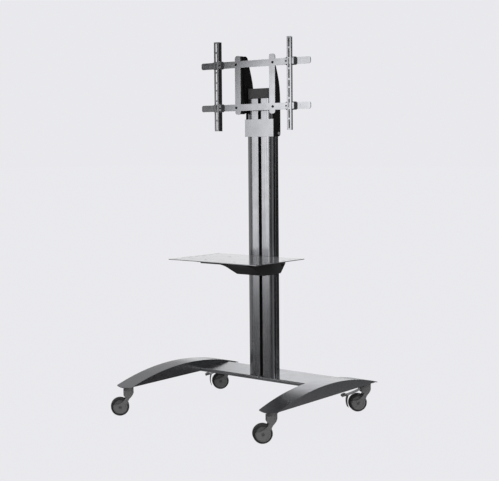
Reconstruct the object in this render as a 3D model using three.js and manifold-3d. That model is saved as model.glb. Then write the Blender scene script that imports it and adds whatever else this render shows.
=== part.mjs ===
// Mobile stand for a flat screen: two bowed feet on castors, a cross member,
// a slotted column, a height-adjustable shelf and a tilting mounting head.
// Millimetres, +Z up. The stand's front faces -Y and its symmetry plane is
// x = 0 in the working frame; the whole group is shifted at the end so that
// the origin is the floor point under the middle of the bounding box.
import * as THREE from 'three';
import { mergeVertices } from 'three/addons/utils/BufferGeometryUtils.js';
import Module from 'manifold-3d';

const wasm = await Module();
wasm.setup();

// ---------------------------------------------------------------- dimensions
const GAP = 0.3; // between pieces that touch

const LEG_X = 417.7; // centre line of each foot
const LEG_W = 96; // width of the foot
const LEG_HALF = 386; // half length at the corners
const LEG_NOSE = 12; // bulge of the rounded ends beyond the corners
const LEG_Z = 131.7; // underside of the foot
const LEG_RISE = 56.3; // height of the bow
const LEG_T = 3; // sheet thickness
const LEG_R = (LEG_HALF ** 2 + LEG_RISE ** 2) / (2 * LEG_RISE);
const LEG_C = LEG_Z + LEG_RISE - LEG_R; // z of the bow's centre

const BAR_Y0 = 92.3; // cross member, front
const BAR_Y1 = 303.2; // cross member, back
const BAR_Z = 148; // top of the cross member
const BAR_H = 16;
const BAR_T = 4;

const COL_HX = 74.3; // column half width
const COL_Y0 = 105.3;
const COL_Y1 = 153.1;
const COL_TOP = 1449.3;
const COL_R = 6; // corner radius
const COL_FLAT = 43; // half width of the flat middle of the front
const COL_TURN = 12; // degrees by which the front bends back at its shoulders
const CAP_TOP = 1496;

const CASTER_Y = 360.5; // stem position along the foot
const TRAIL = 40;
const WHEEL_R = 42;
const WHEEL_HW = 16.5; // half width of the tyre
const FORK_HW = 23.5;
const NECK_R = 23.3;
const LIFT = 6.5; // everything above the castors is drawn this much too low
const FORK_TOP = 128.8 + LIFT;
const CASTER_TURN = 180 + 46.6; // degrees, direction in which the wheels trail

const SHELF_HX = 257.2;
const SHELF_Y0 = -250.9;
const SHELF_Y1 = 101;
const SHELF_Z = 719.2;
const SHELF_T = 3.2;

const PLATE_IN = 76; // head: inner face of the carriage side plates
const PLATE_T = 3.3;
const ARM_IN = 79.9; // inner face of the tilt arms
const COVER_Z0 = 1274;
const COVER_Z1 = 1354;
const PIVOT_Y = 97;
const PIVOT_Z = 1508.4;
const UPRIGHT_X0 = 83.5;
const UPRIGHT_X1 = 116.9;
const UPRIGHT_Z0 = 1377;
const UPRIGHT_Z1 = 1647.6;
const RAIL_HX = 317.8;
const RAIL_H = 30.5;
const RAIL_Y0 = 66.5;
const RAIL_Y1 = 70.9;
const RAIL_Z = [1408.8, 1607.9];
const RAIL_BOLT_X = 107;

const ADAPTER_X = 212.3; // centre line of the slotted web
const ADAPTER_HW = 13;
const ADAPTER_T = 2.5;
const ADAPTER_Y0 = 49.5;
const ADAPTER_Y1 = 77.5;
const ADAPTER_HALF = 207.5;
const ADAPTER_Z = 1508.9;
const SLOT_BRIDGES = [18, 66, 112, 158]; // heights of the bridges between slots
const SLOT_END = 202;
const SLOT_W = 7.5;

const ORIGIN_X = -22.439; // floor point under the middle of the bounding box
const ORIGIN_Y = -15.804;

// ---------------------------------------------------------------- materials
const mat = (color, roughness, metalness) =>
  new THREE.MeshStandardMaterial({ color, roughness, metalness });
const M = {
  footPaint: mat(0x5a5b5e, 0.38, 0.55),
  barPaint: mat(0xb9babd, 0.35, 0.6),
  columnAlu: mat(0x77797c, 0.35, 0.8),
  capPlastic: mat(0x57585a, 0.6, 0.0),
  blackPaint: mat(0x18191a, 0.5, 0.2),
  silver: mat(0xb4b6b8, 0.35, 0.8),
  shelf: mat(0xc4c5c7, 0.25, 0.3),
  forkPlastic: mat(0x55565a, 0.5, 0.0),
  tyre: mat(0x2c2c2f, 0.8, 0.0),
  hub: mat(0x5f6063, 0.5, 0.0),
  steel: mat(0xb9bbbd, 0.3, 0.9),
  screw: mat(0x3a3b3d, 0.4, 0.8),
};

// ---------------------------------------------------------------- helpers
// closed, outward-facing geometry with shared vertices
function closed(g) {
  g = g.clone();
  g.deleteAttribute('normal');
  g.deleteAttribute('uv');
  g = mergeVertices(g, 1e-4);
  const p = g.attributes.position;
  const idx = Array.from(g.index.array);
  const tri = [];
  for (let i = 0; i < idx.length; i += 3) {
    const [a, b, c] = [idx[i], idx[i + 1], idx[i + 2]];
    if (a !== b && b !== c && c !== a) tri.push(a, b, c);
  }
  let vol = 0;
  const A = new THREE.Vector3(), B = new THREE.Vector3(), C = new THREE.Vector3();
  for (let i = 0; i < tri.length; i += 3) {
    A.fromBufferAttribute(p, tri[i]);
    B.fromBufferAttribute(p, tri[i + 1]);
    C.fromBufferAttribute(p, tri[i + 2]);
    vol += A.dot(B.cross(C));
  }
  if (vol < 0) for (let i = 0; i < tri.length; i += 3) [tri[i + 1], tri[i + 2]] = [tri[i + 2], tri[i + 1]];
  g.setIndex(tri);
  return g;
}
const solid = (g) => {
  g = closed(g);
  return new wasm.Manifold(
    new wasm.Mesh({
      numProp: 3,
      vertProperties: new Float32Array(g.attributes.position.array),
      triVerts: new Uint32Array(g.index.array),
    }),
  );
};
function shell(m) {
  const mesh = m.getMesh();
  const g = new THREE.BufferGeometry();
  g.setAttribute('position', new THREE.BufferAttribute(new Float32Array(mesh.vertProperties), 3));
  g.setIndex(Array.from(mesh.triVerts));
  g.computeVertexNormals();
  return g;
}
const shapeOf = (pts, holes = []) => {
  const s = new THREE.Shape(pts.map(([x, y]) => new THREE.Vector2(x, y)));
  for (const h of holes) s.holes.push(new THREE.Path(h.map(([x, y]) => new THREE.Vector2(x, y))));
  return s;
};
const extrude = (pts, depth, holes) =>
  new THREE.ExtrudeGeometry(shapeOf(pts, holes), { depth, bevelEnabled: false, steps: 1 });
const basis = (g, x, y, z, t) => {
  const m = new THREE.Matrix4().makeBasis(new THREE.Vector3(...x), new THREE.Vector3(...y), new THREE.Vector3(...z));
  m.setPosition(...t);
  return g.applyMatrix4(m);
};
// outline in x,y between two heights
const xy = (pts, z0, z1, holes) => basis(extrude(pts, z1 - z0, holes), [1, 0, 0], [0, 1, 0], [0, 0, 1], [0, 0, z0]);
// outline in y,z between two x
const yz = (pts, x0, x1, holes) => basis(extrude(pts, x1 - x0, holes), [0, 1, 0], [0, 0, 1], [1, 0, 0], [x0, 0, 0]);
// outline in x,z between two y
const xz = (pts, y0, y1, holes) => basis(extrude(pts, y1 - y0, holes), [1, 0, 0], [0, 0, 1], [0, -1, 0], [0, y1, 0]);
const box = (x0, x1, y0, y1, z0, z1) =>
  new THREE.BoxGeometry(x1 - x0, y1 - y0, z1 - z0).translate((x0 + x1) / 2, (y0 + y1) / 2, (z0 + z1) / 2);
const circle = (cx, cy, r, n = 24, a0 = 0, a1 = 360) => {
  const full = a1 - a0 >= 360;
  const pts = [];
  for (let i = 0; i < (full ? n : n + 1); i++) {
    const a = ((a0 + ((a1 - a0) * i) / n) * Math.PI) / 180;
    pts.push([cx + r * Math.cos(a), cy + r * Math.sin(a)]);
  }
  return pts;
};
// rounded rectangle, counter-clockwise
const rounded = (x0, x1, y0, y1, r, n = 4) => [
  ...circle(x1 - r, y0 + r, r, n, -90, 0),
  ...circle(x1 - r, y1 - r, r, n, 0, 90),
  ...circle(x0 + r, y1 - r, r, n, 90, 180),
  ...circle(x0 + r, y0 + r, r, n, 180, 270),
];
const slotPts = (cx, cy, w, l, n = 4) => [
  ...circle(cx, cy - (l - w) / 2, w / 2, n * 2, 180, 360),
  ...circle(cx, cy + (l - w) / 2, w / 2, n * 2, 0, 180),
];
// plan of the extrusion: flat front, shallow curved shoulders, small corners
const columnPlan = (hx, y0, y1, flat, r, turn = COL_TURN) => {
  const t = (turn * Math.PI) / 180;
  const R = (hx - flat - r * (1 - Math.sin(t))) / Math.sin(t);
  const cy = y0 + R * (1 - Math.cos(t)) + r * Math.cos(t);
  const half = [
    ...circle(flat, y0 + R, R, 4, -90, -90 + turn),
    ...circle(hx - r, cy, r, 5, -90 + turn, 0).slice(1),
    ...circle(hx - r, y1 - r, r, 4, 0, 90),
  ];
  return [...half, ...half.map(([x, y]) => [-x, y]).reverse()];
};
const mirrorY = (pts) => pts.map(([a, b]) => [-a, b]);
// cylinder along x, y or z
const rodX = (y, z, r, x0, x1, n = 20) => yz(circle(y, z, r, n), x0, x1);
const rodY = (x, z, r, y0, y1, n = 20) => xz(circle(x, z, r, n), y0, y1);
const rodZ = (x, y, r, z0, z1, n = 24) => xy(circle(x, y, r, n), z0, z1);
// body of revolution about y through the point (x, z)
const spinY = (profile, x, z, n = 40) =>
  new THREE.LatheGeometry(profile.map(([r, y]) => new THREE.Vector2(r, y)), n).translate(x, 0, z);
const join = (...gs) => gs.map(solid).reduce((a, b) => a.add(b));
const cut = (a, ...gs) => gs.reduce((m, g) => m.subtract(solid(g)), a);

const stand = new THREE.Group();
const upper = new THREE.Group(); // all but the castors
upper.position.z = LIFT;
stand.add(upper);
function part(name, geometry, material, parent = upper) {
  const g = geometry.isBufferGeometry ? closed(geometry) : shell(geometry);
  g.computeVertexNormals();
  const mesh = new THREE.Mesh(g, material);
  mesh.name = name;
  parent.add(mesh);
  return mesh;
}

// ---------------------------------------------------------------- feet
// height of the bow at y, for the outer sheet or one lying d below it
const bow = (y, d = 0) => LEG_C + Math.sqrt((LEG_R - d) ** 2 - y * y);
const span = (a, b, n) => Array.from({ length: n + 1 }, (_, i) => a + ((b - a) * i) / n);

function foot(cx) {
  const end = LEG_HALF + LEG_NOSE;
  const reach = Math.sqrt((LEG_R - LEG_T) ** 2 - (LEG_Z - LEG_C) ** 2);
  const outer = [
    ...span(end, -end, 44).map((y) => [y, bow(y)]),
    ...span(-end, -reach, 3).map((y) => [y, bow(y, LEG_T)]),
    ...span(reach, end, 3).map((y) => [y, bow(y, LEG_T)]),
  ];
  const inner = [
    [-reach, LEG_Z - 5],
    [reach, LEG_Z - 5],
    ...span(reach - 1, 1 - reach, 44).map((y) => [y, bow(y, LEG_T)]),
  ];
  const hw = LEG_W / 2;
  // plan outline with rounded noses
  const noseR = (hw * hw + LEG_NOSE * LEG_NOSE) / (2 * LEG_NOSE);
  const half = Math.asin(hw / noseR);
  const nose = (s) =>
    span(-half, half, 12).map((a) => [cx + s * noseR * Math.sin(a), s * -1 * (LEG_HALF + LEG_NOSE - noseR + noseR * Math.cos(a))]);
  const plan = [...nose(1), ...nose(-1)];
  let m = solid(yz(outer, cx - hw, cx + hw));
  m = cut(m, yz(inner, cx - hw + LEG_T, cx + hw - LEG_T));
  return m.intersect(solid(xy(plan, LEG_Z - 40, LEG_Z + 120)));
}
part('leg_left', foot(-LEG_X), M.footPaint);
part('leg_right', foot(LEG_X), M.footPaint);

// ---------------------------------------------------------------- cross member
{
  const hx = LEG_X - LEG_W / 2 - GAP;
  const z0 = BAR_Z - BAR_H;
  let m = solid(box(-hx, hx, BAR_Y0, BAR_Y1, z0, BAR_Z));
  m = cut(m, box(-hx + BAR_T, hx - BAR_T, BAR_Y0 + BAR_T, BAR_Y1 - BAR_T, z0 - 5, BAR_Z - BAR_T));
  part('base_crossbar', m, M.barPaint);
}

// ---------------------------------------------------------------- column
{
  let m = solid(xy(columnPlan(COL_HX, COL_Y0, COL_Y1, COL_FLAT, COL_R), BAR_Z + GAP, COL_TOP));
  const z0 = BAR_Z - 5, z1 = COL_TOP + 5;
  // front and back slots with undercut
  m = cut(m, box(-7.5, 7.5, COL_Y0 - 2, COL_Y0 + 5, z0, z1), box(-13, 13, COL_Y0 + 4, COL_Y0 + 13, z0, z1));
  m = cut(m, box(-5, 5, COL_Y1 - 5, COL_Y1 + 2, z0, z1), box(-9, 9, COL_Y1 - 11, COL_Y1 - 4, z0, z1));
  for (const s of [-1, 1]) {
    const b = (a, c, ...r) => (s > 0 ? box(a, c, ...r) : box(-c, -a, ...r));
    // side groove
    m = cut(m, b(COL_HX - 7, COL_HX + 2, 117.6, 126.4, z0, z1));
    // long chambers on both sides of the slots
    m = cut(m, b(17, COL_HX - 11, COL_Y0 + 5.5, COL_Y1 - 3.2, z0, z1));
    m = cut(m, b(COL_HX - 12, COL_HX - 3.2, 130, COL_Y1 - 5, z0, z1));
  }
  part('column', m, M.columnAlu);
  part('column_top_cap', xy(columnPlan(COL_HX - 3, COL_Y0 + 1.7, COL_Y1 - 1.7, COL_FLAT - 2, COL_R - 1), COL_TOP + GAP, CAP_TOP), M.capPlastic);
}

// ---------------------------------------------------------------- castors
const corners = [
  ['front_left', -LEG_X, -CASTER_Y],
  ['front_right', LEG_X, -CASTER_Y],
  ['rear_left', -LEG_X, CASTER_Y],
  ['rear_right', LEG_X, CASTER_Y],
];
for (const [name, sx, sy] of corners) {
  // block under the bow's end, with the stem screwed into it
  const s = Math.sign(sy);
  const hw = LEG_W / 2 - LEG_T - GAP;
  const ys = span(322, 371, 6);
  const block = [
    ...ys.map((y) => [s * y, LEG_Z]),
    ...ys.slice().reverse().map((y) => [s * y, Math.max(bow(y, LEG_T) - GAP, LEG_Z + 0.8)]),
  ];
  part(`caster_mount_${name}`, join(yz(block, sx - hw, sx + hw), rodZ(sx, sy, 11, FORK_TOP - LIFT + GAP, LEG_Z + 0.3, 28), rodZ(sx, sy, 5.5, 101, LEG_Z + 2, 20)), M.steel);

  // everything that swivels, in its own frame: x runs to the trailing side
  const c = new THREE.Group();
  c.position.set(sx, sy, 0);
  c.rotation.z = (CASTER_TURN * Math.PI) / 180;
  stand.add(c);
  const side = [
    [-23.3, 118], [-23.3, 110.5], [-22, 103.5], [-18.5, 96], [-13.5, 89.8], [-7.5, 83.8], [-1.8, 77.5], [2, 71], [4.8, 63.5], [6.9, 55.5],
    ...circle(TRAIL, WHEEL_R, 33, 22, 168, 374),
    [61, 52.5], [50, 54], [40, 58], [31, 64.5], [22, 73.5], [15, 82], [14.5, 86.5], [18, 89.8], [23.3, 92], [23.3, 118],
  ];
  const planFork = [[0, -FORK_HW], [90, -FORK_HW], [90, FORK_HW], [0, FORK_HW], ...circle(0, 0, NECK_R, 12, 109, 251)];
  let fork = solid(xz(side, -FORK_HW, FORK_HW)).intersect(solid(xy(planFork, 0, 150)));
  fork = fork.add(solid(rodZ(0, 0, NECK_R, 102, FORK_TOP, 24)));
  const ear = [[8, 94.5], [28, 94.5], [34, 97.5], [34, 103.5], [29, 107.5], [8, 107.5]];
  if (s > 0) fork = fork.add(join(xz(ear, -20, -15.4), xz(ear, 15.4, 20)));
  fork = cut(fork, rodY(TRAIL, WHEEL_R, WHEEL_R + 3, -WHEEL_HW - 1.6, WHEEL_HW + 1.6, 30), rodZ(0, 0, 6, 105, 150, 20), rodY(TRAIL, WHEEL_R, 4.6, -30, 30, 20));
  if (s > 0) fork = cut(fork, rodY(29, 101, 2.5, -22, 22, 12), box(23.6, 40, -15.4, 15.4, 90, 121));
  part(`caster_fork_${name}`, fork, M.forkPlastic, c);
  const e = FORK_HW;
  part(`caster_axle_${name}`, spinY([[0, -e - 2.4], [6.2, -e - 2.4], [6.8, -e - GAP], [4.1, -e - GAP], [4.1, e + GAP], [6.8, e + GAP], [6.2, e + 2.4], [0, e + 2.4]], TRAIL, WHEEL_R, 16), M.steel, c);
  const w = WHEEL_HW;
  part(`wheel_hub_${name}`, spinY([[4.6, -w + 0.5], [9, -w + 0.5], [11, -w + 3.5], [26, -w + 3.5], [28, -w + 1], [30.7, -w + 1], [30.7, w - 1], [28, w - 1], [26, w - 3.5], [11, w - 3.5], [9, w - 0.5], [4.6, w - 0.5], [4.6, -w + 0.5]], TRAIL, WHEEL_R, 26), M.hub, c);
  part(`tyre_${name}`, spinY([[31, -w + 1], [33, -w], [38.5, -w + 0.3], [41, -w + 1.6], [42, -w + 4], [42, w - 4], [41, w - 1.6], [38.5, w - 0.3], [33, w], [31, w - 1], [31, -w + 1]], TRAIL, WHEEL_R, 36), M.tyre, c);

  if (s > 0) {
    // brake: a formed blade on a cross pin, with a foot pad on its end
    const blade = [
      [29, 105.5], [36, 102.5], [44, 97.8], [54, 93.6], [64, 89.8], [74, 86.2], [84, 82.9], [94, 80], [112, 75],
      [111.5, 73.1], [93.4, 78.1], [87.2, 79.9], [90, 71.5], [92.4, 60], [92.9, 50], [92.2, 41.5], [90.2, 31], [86.8, 21.5],
      [85.1, 22.2], [88.4, 31.6], [90.3, 41.8], [91, 50], [90.5, 59.8], [88.1, 71], [84.9, 80.5], [73.4, 84.2], [63.3, 87.9], [53.3, 91.7], [43, 96], [35.4, 100], [29, 101],
    ];
    // narrow between the ears, full width behind them
    const plan = [[20, -13], [36, -13], [40, -17], [120, -17], [120, 17], [40, 17], [36, 13], [20, 13]];
    let b = solid(xz(blade, -17, 17)).intersect(solid(xy(plan, 0, 130)));
    b = b.add(solid(rodY(29, 101, 4.5, -14.7, 14.7, 20))).add(solid(rodY(29, 101, 2, -19.5, 19.5, 12)));
    part(`brake_lever_${name}`, b, M.steel, c);
    part(`brake_pad_${name}`, xz([[94.5, 80.4], [112.6, 75.4], [112.9, 71.8], [116, 71.5], [117.2, 74.5], [114, 80.5], [100, 85.4], [94.5, 84.8]], -17, 17), M.forkPlastic, c);
  }
}

// ---------------------------------------------------------------- shelf
{
  let plate = solid(xy(rounded(-SHELF_HX, SHELF_HX, SHELF_Y0, SHELF_Y1, 4, 2), SHELF_Z - SHELF_T, SHELF_Z));
  const through = [SHELF_Z - SHELF_T - 2, SHELF_Z + 2];
  // a row of narrow slots beside each end
  for (const s of [-1, 1]) for (let i = 0; i < 7; i++) plate = cut(plate, box(s * 232 - 1.9, s * 232 + 1.9, -239 + i * 49, -213 + i * 49, ...through));
  // countersunk holes for the bracket's screws
  const sunk = (x, y) =>
    new THREE.LatheGeometry([[0, -6], [3.7, -6], [3.7, -2.9], [6.9, 0.3], [0, 0.3]].map(([r, z]) => new THREE.Vector2(r, SHELF_Z + z)), 16).rotateX(Math.PI / 2).translate(x, y, 0);
  for (const [x, y] of [[-84, -20], [84, -20], [-84, -190], [84, -190]]) plate = cut(plate, sunk(x, y));
  part('shelf_plate', plate, M.shelf);

  const top = SHELF_Z - SHELF_T - GAP;
  const low = [[-232, 708.5], [-180, 704], [-121, 695.5], [-65, 680.5], [-16, 657], [26, 636], [100, 634.5]];
  const armPts = [...low, [157, 637], [170, 650], [195, 680], [195, 700], [140, 710], [103, top], [-232, top]];
  const skin = [...low, ...low.slice().reverse().map(([y, z]) => [y, z + 3])];
  let m = join(yz(armPts, 75.1, 78.1), yz(armPts, -78.1, -75.1));
  m = m.add(solid(yz(skin, -76, 76)));
  for (const s of [-1, 1]) {
    const f = [[s * 77, -232], [s * 104, -232], [s * 104, -222], [s * 96, -150], [s * 96, 92], [s * 77, 100]];
    m = m.add(solid(xy(s > 0 ? f : f.reverse(), top - 3, top)));
  }
  for (const [x, y] of [[-84, -20], [84, -20], [-84, -190], [84, -190]]) m = cut(m, rodZ(x, y, 3.4, top - 10, top + 10, 12));
  // the rear plate is held through these two holes
  m = cut(m, rodX(170, 676, 4.3, -90, 90, 16));
  part('shelf_bracket', m, M.blackPaint);

  // clamping plate behind the column, a channel with its ends against the arms
  const clamp = [[-74.7, 155], [74.7, 155], [74.7, 180], [71.7, 180], [71.7, 158.5], [-71.7, 158.5], [-71.7, 180], [-74.7, 180]];
  part('shelf_rear_clamp', cut(solid(xy(clamp, 662, 694)), rodX(170, 676, 4.3, -90, 90, 16)), M.blackPaint);
  // one bolt runs through both arms and the clamping plate, headed at each end
  const bolt = spinY([[0, -84], [6.5, -84], [7.8, -83], [7.8, -78.4], [4, -78.4], [4, 78.4], [7.8, 78.4], [7.8, 83], [6.5, 84], [0, 84]], 0, 0, 18);
  bolt.rotateZ(-Math.PI / 2).translate(0, 170, 676);
  part('shelf_clamp_bolt', bolt, M.screw);
  let i = 1;
  for (const [x, y] of [[-84, -20], [84, -20]]) {
    const sc = new THREE.LatheGeometry([[0, top - 8], [3, top - 8], [3.3, SHELF_Z - 2.9], [6.1, SHELF_Z - 0.15], [0, SHELF_Z - 0.15]].map(([r, z]) => new THREE.Vector2(r, z)), 16);
    sc.rotateX(Math.PI / 2).translate(x, y, 0);
    part(`shelf_screw_${i++}`, sc, M.screw);
  }
}

// ---------------------------------------------------------------- head carriage
const sided = (s) => (s < 0 ? 'left' : 'right');
for (const s of [-1, 1]) {
  const side = (a, b, pts, holes) => (s > 0 ? yz(pts, a, b, holes) : yz(pts, -b, -a, holes));
  const rod = (y, z, r, a, b, n) => side(a, b, circle(y, z, r, n));
  const plate = [
    [104.5, 1274], [148, 1274], [155, 1276.5], [159.4, 1282], [160.5, 1289], [160.5, 1437], [159, 1470], [156, 1500], [151.5, 1525],
    [145, 1549], [137, 1574], [128, 1599], [120, 1627], [115, 1638], [107, 1644.5], [97, 1646], [89, 1644], [85, 1637],
    [84.5, 1560], [86, 1530], [91, 1490], [99, 1452], [104.5, 1424],
  ];
  part(`carriage_side_plate_${sided(s)}`, side(PLATE_IN, PLATE_IN + PLATE_T, plate, [circle(PIVOT_Y, PIVOT_Z, 5.4, 20).reverse(), circle(146, 1287.6, 4.5, 16).reverse()]), M.blackPaint);
  // guide block between the plate and the column's side
  const guide = rounded(113.5, 148, 1283, 1347, 4, 2);
  part(`carriage_guide_${sided(s)}`, side(COL_HX + GAP, PLATE_IN - GAP, guide), M.capPlastic);
  const b1 = PLATE_IN + PLATE_T;
  part(`carriage_clamp_screw_${sided(s)}`, join(rod(146, 1287.6, 7, b1 + GAP, b1 + 4.6, 20), rod(146, 1287.6, 4, PLATE_IN + 0.4, b1 + 1, 16)), M.steel);
  // tilt arm: plate beside the carriage plate with a front flange behind the upright
  const armOut = ARM_IN + PLATE_T;
  const arm = [[75.6, 1378.5], [94, 1378.5], [104, 1383], [110, 1393], [113, 1440], [114, 1508], [112, 1570], [107, 1612], [100, 1636], [92, 1645], [75.6, 1646]];
  let a = solid(side(ARM_IN, armOut, arm));
  a = a.add(solid(s > 0 ? box(ARM_IN, 113, 75.6, 78.6, 1378.5, 1646) : box(-113, -ARM_IN, 75.6, 78.6, 1378.5, 1646)));
  a = cut(a, rod(PIVOT_Y, PIVOT_Z, 5.4, 60, 100, 20));
  for (const z of RAIL_Z) a = cut(a, rodY(s * RAIL_BOLT_X, z, 4.3, 60, 95, 12));
  part(`tilt_arm_${sided(s)}`, a, M.blackPaint);
  part(`tilt_pivot_bolt_${sided(s)}`, join(rod(PIVOT_Y, PIVOT_Z, 8.5, armOut + 0.5, armOut + 5.5, 20), rod(PIVOT_Y, PIVOT_Z, 5, PLATE_IN - 1, armOut + 1, 20), rod(PIVOT_Y, PIVOT_Z, 8, PLATE_IN - 7, PLATE_IN - 0.5, 6)), M.screw);
  // silver upright in front of the arm
  const hx = (UPRIGHT_X1 - UPRIGHT_X0) / 2;
  const cx = s * (UPRIGHT_X0 + hx);
  const up = rounded(cx - hx, cx + hx, UPRIGHT_Z0, UPRIGHT_Z1, 13, 6);
  part(`upright_${sided(s)}`, xz(up, RAIL_Y1 + GAP, 75.3, RAIL_Z.map((z) => circle(s * RAIL_BOLT_X, z, 4.3, 12).reverse())), M.silver);
}
part('carriage_front_cover', xz(rounded(-84, 84, COVER_Z0 - 0.5, COVER_Z1, 3, 2), 101.3, 104.2), M.silver);

// ---------------------------------------------------------------- rails
RAIL_Z.forEach((z, i) => {
  const level = ['lower', 'upper'][i];
  const o = rounded(-RAIL_HX, RAIL_HX, z - RAIL_H / 2, z + RAIL_H / 2, 9, 4);
  const holes = [-1, 1].map((s) => circle(s * RAIL_BOLT_X, z, 4.3, 12).reverse());
  part(`rail_${level}`, xz(o, RAIL_Y0, RAIL_Y1, holes), M.silver);
  for (const s of [-1, 1]) {
    const b = spinY([[0, 63.2], [4.6, 63.2], [5.6, 64.2], [5.6, RAIL_Y0 - GAP], [3.9, RAIL_Y0 - GAP], [3.9, 78.9], [6.5, 78.9], [6.5, 83.5], [0, 83.5]], s * RAIL_BOLT_X, z, 16);
    part(`rail_bolt_${level}_${sided(s)}`, b, M.screw);
  }
});

// ---------------------------------------------------------------- screen adapters
for (const s of [-1, 1]) {
  const X = (a, b) => (s > 0 ? [a, b] : [-b, -a]);
  const inX = ADAPTER_X - ADAPTER_HW, outX = ADAPTER_X + ADAPTER_HW;
  const z0 = ADAPTER_Z - ADAPTER_HALF, z1 = ADAPTER_Z + ADAPTER_HALF;
  // web at the front, flange on the inner side, lip at the back
  let sec = [
    [inX, ADAPTER_Y0], [outX, ADAPTER_Y0], [outX, ADAPTER_Y0 + ADAPTER_T], [inX + ADAPTER_T, ADAPTER_Y0 + ADAPTER_T],
    [inX + ADAPTER_T, ADAPTER_Y1 - 2.4], [inX + 12.5, ADAPTER_Y1 - 2.4], [inX + 12.5, ADAPTER_Y1], [inX, ADAPTER_Y1],
  ];
  if (s < 0) sec = mirrorY(sec).reverse();
  let m = solid(xy(sec, z0, z1));
  const slots = [[-SLOT_BRIDGES[0] + 2.5, SLOT_BRIDGES[0] - 2.5]];
  SLOT_BRIDGES.forEach((b, i) => {
    const next = SLOT_BRIDGES[i + 1] ? SLOT_BRIDGES[i + 1] - 2.5 : SLOT_END;
    slots.push([b + 2.5, next], [-next, -b - 2.5]);
  });
  for (const [a, b] of slots) m = cut(m, xz(slotPts(s * ADAPTER_X, ADAPTER_Z + (a + b) / 2, SLOT_W, b - a, 2), ADAPTER_Y0 - 2, ADAPTER_Y0 + 4));
  for (const z of RAIL_Z) {
    const [a, b] = X(inX - 3, inX + ADAPTER_T + 3);
    m = cut(m, box(a, b, ADAPTER_Y0 + ADAPTER_T, 75, z - 18.7, z + 18.7));
  }
  part(`screen_adapter_${sided(s)}`, m, M.silver);
  RAIL_Z.forEach((z, i) => {
    // hook: stands in front of the rail and grips it above, below and behind
    const [a, b] = X(ADAPTER_X - 24.7, ADAPTER_X + 24.7);
    const y0 = ADAPTER_Y0 + ADAPTER_T + GAP;
    const h = RAIL_H / 2 + 0.4;
    const hook = [
      [y0, -15], [59, -15], [61, -h - 2.6], [RAIL_Y1 + 3.7, -h - 2.6], [RAIL_Y1 + 3.7, -8], [RAIL_Y1 + 0.4, -8], [RAIL_Y1 + 0.4, -h], [RAIL_Y0 - GAP, -h],
      [RAIL_Y0 - GAP, h], [RAIL_Y1 + 0.4, h], [RAIL_Y1 + 0.4, 7], [RAIL_Y1 + 3.7, 7], [RAIL_Y1 + 3.7, h + 2.6], [61, h + 2.6], [59, 15], [y0, 15],
    ].map(([y, dz]) => [y, z + dz]);
    part(`rail_clamp_${['lower', 'upper'][i]}_${sided(s)}`, yz(hook, a, b), M.silver);
  });
}

stand.position.set(-ORIGIN_X, -ORIGIN_Y, 0);
stand.name = 'mobile_screen_stand';
export default stand;
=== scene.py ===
import math
import bpy
import bmesh
from mathutils import Matrix, Vector


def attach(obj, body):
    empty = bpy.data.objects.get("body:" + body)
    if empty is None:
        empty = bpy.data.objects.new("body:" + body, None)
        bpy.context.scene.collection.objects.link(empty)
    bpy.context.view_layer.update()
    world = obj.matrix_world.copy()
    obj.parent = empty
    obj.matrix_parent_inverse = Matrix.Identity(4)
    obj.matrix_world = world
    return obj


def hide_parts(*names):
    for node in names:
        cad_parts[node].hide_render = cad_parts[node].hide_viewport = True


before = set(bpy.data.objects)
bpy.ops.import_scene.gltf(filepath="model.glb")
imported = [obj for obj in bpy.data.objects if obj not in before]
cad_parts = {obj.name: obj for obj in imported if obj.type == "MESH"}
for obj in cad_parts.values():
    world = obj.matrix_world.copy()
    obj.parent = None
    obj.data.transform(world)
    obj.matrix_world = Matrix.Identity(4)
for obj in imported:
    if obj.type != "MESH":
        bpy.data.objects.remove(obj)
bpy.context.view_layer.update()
scene = bpy.context.scene

# Shapes are drawn in millimetres in the stand's own symmetric frame (x = 0 is
# its middle plane) and shifted to the floor origin when a piece is finished.
OX, OY = -22.439, -15.804
LIFT = 6.5  # all but the castors is drawn this much too low


# ------------------------------------------------------------------ camera
def set_camera():
    az, pitch, roll = math.radians(38.62), math.radians(-4.65), math.radians(-0.49)
    pos = Vector((3232.3 - OX, -4022.9 - OY, 1217.3 + LIFT)) * 0.001
    fwd = Vector((-math.sin(az) * math.cos(pitch), math.cos(az) * math.cos(pitch), math.sin(pitch)))
    right = fwd.cross(Vector((0, 0, 1))).normalized()
    up = right.cross(fwd)
    r2 = right * math.cos(roll) + up * math.sin(roll)
    u2 = up * math.cos(roll) - right * math.sin(roll)
    data = bpy.data.cameras.new("camera")
    data.sensor_width = 36.0
    data.sensor_fit = "HORIZONTAL"
    data.lens = 1125.86 * 36.0 / 499.0
    data.clip_start, data.clip_end = 0.1, 200.0
    cam = bpy.data.objects.new("camera", data)
    scene.collection.objects.link(cam)
    m = Matrix((r2, u2, -fwd)).transposed().to_4x4()
    m.translation = pos
    cam.matrix_world = m
    scene.camera = cam
    bpy.context.scene.camera = cam


set_camera()


# ------------------------------------------------------------------ solids
def make(name, verts, faces):
    me = bpy.data.meshes.new(name)
    me.from_pydata([tuple(v) for v in verts], [], faces)
    me.update()
    o = bpy.data.objects.new(name, me)
    scene.collection.objects.link(o)
    return outward(o)


def outward(o):
    bm = bmesh.new()
    bm.from_mesh(o.data)
    bmesh.ops.remove_doubles(bm, verts=bm.verts, dist=1e-4)
    bmesh.ops.recalc_face_normals(bm, faces=bm.faces)
    bm.to_mesh(o.data)
    bm.free()
    return o


PLANES = {
    "xy": lambda u, v, w: (u, v, w),
    "yz": lambda u, v, w: (w, u, v),
    "xz": lambda u, v, w: (u, w, v),
}


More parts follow.
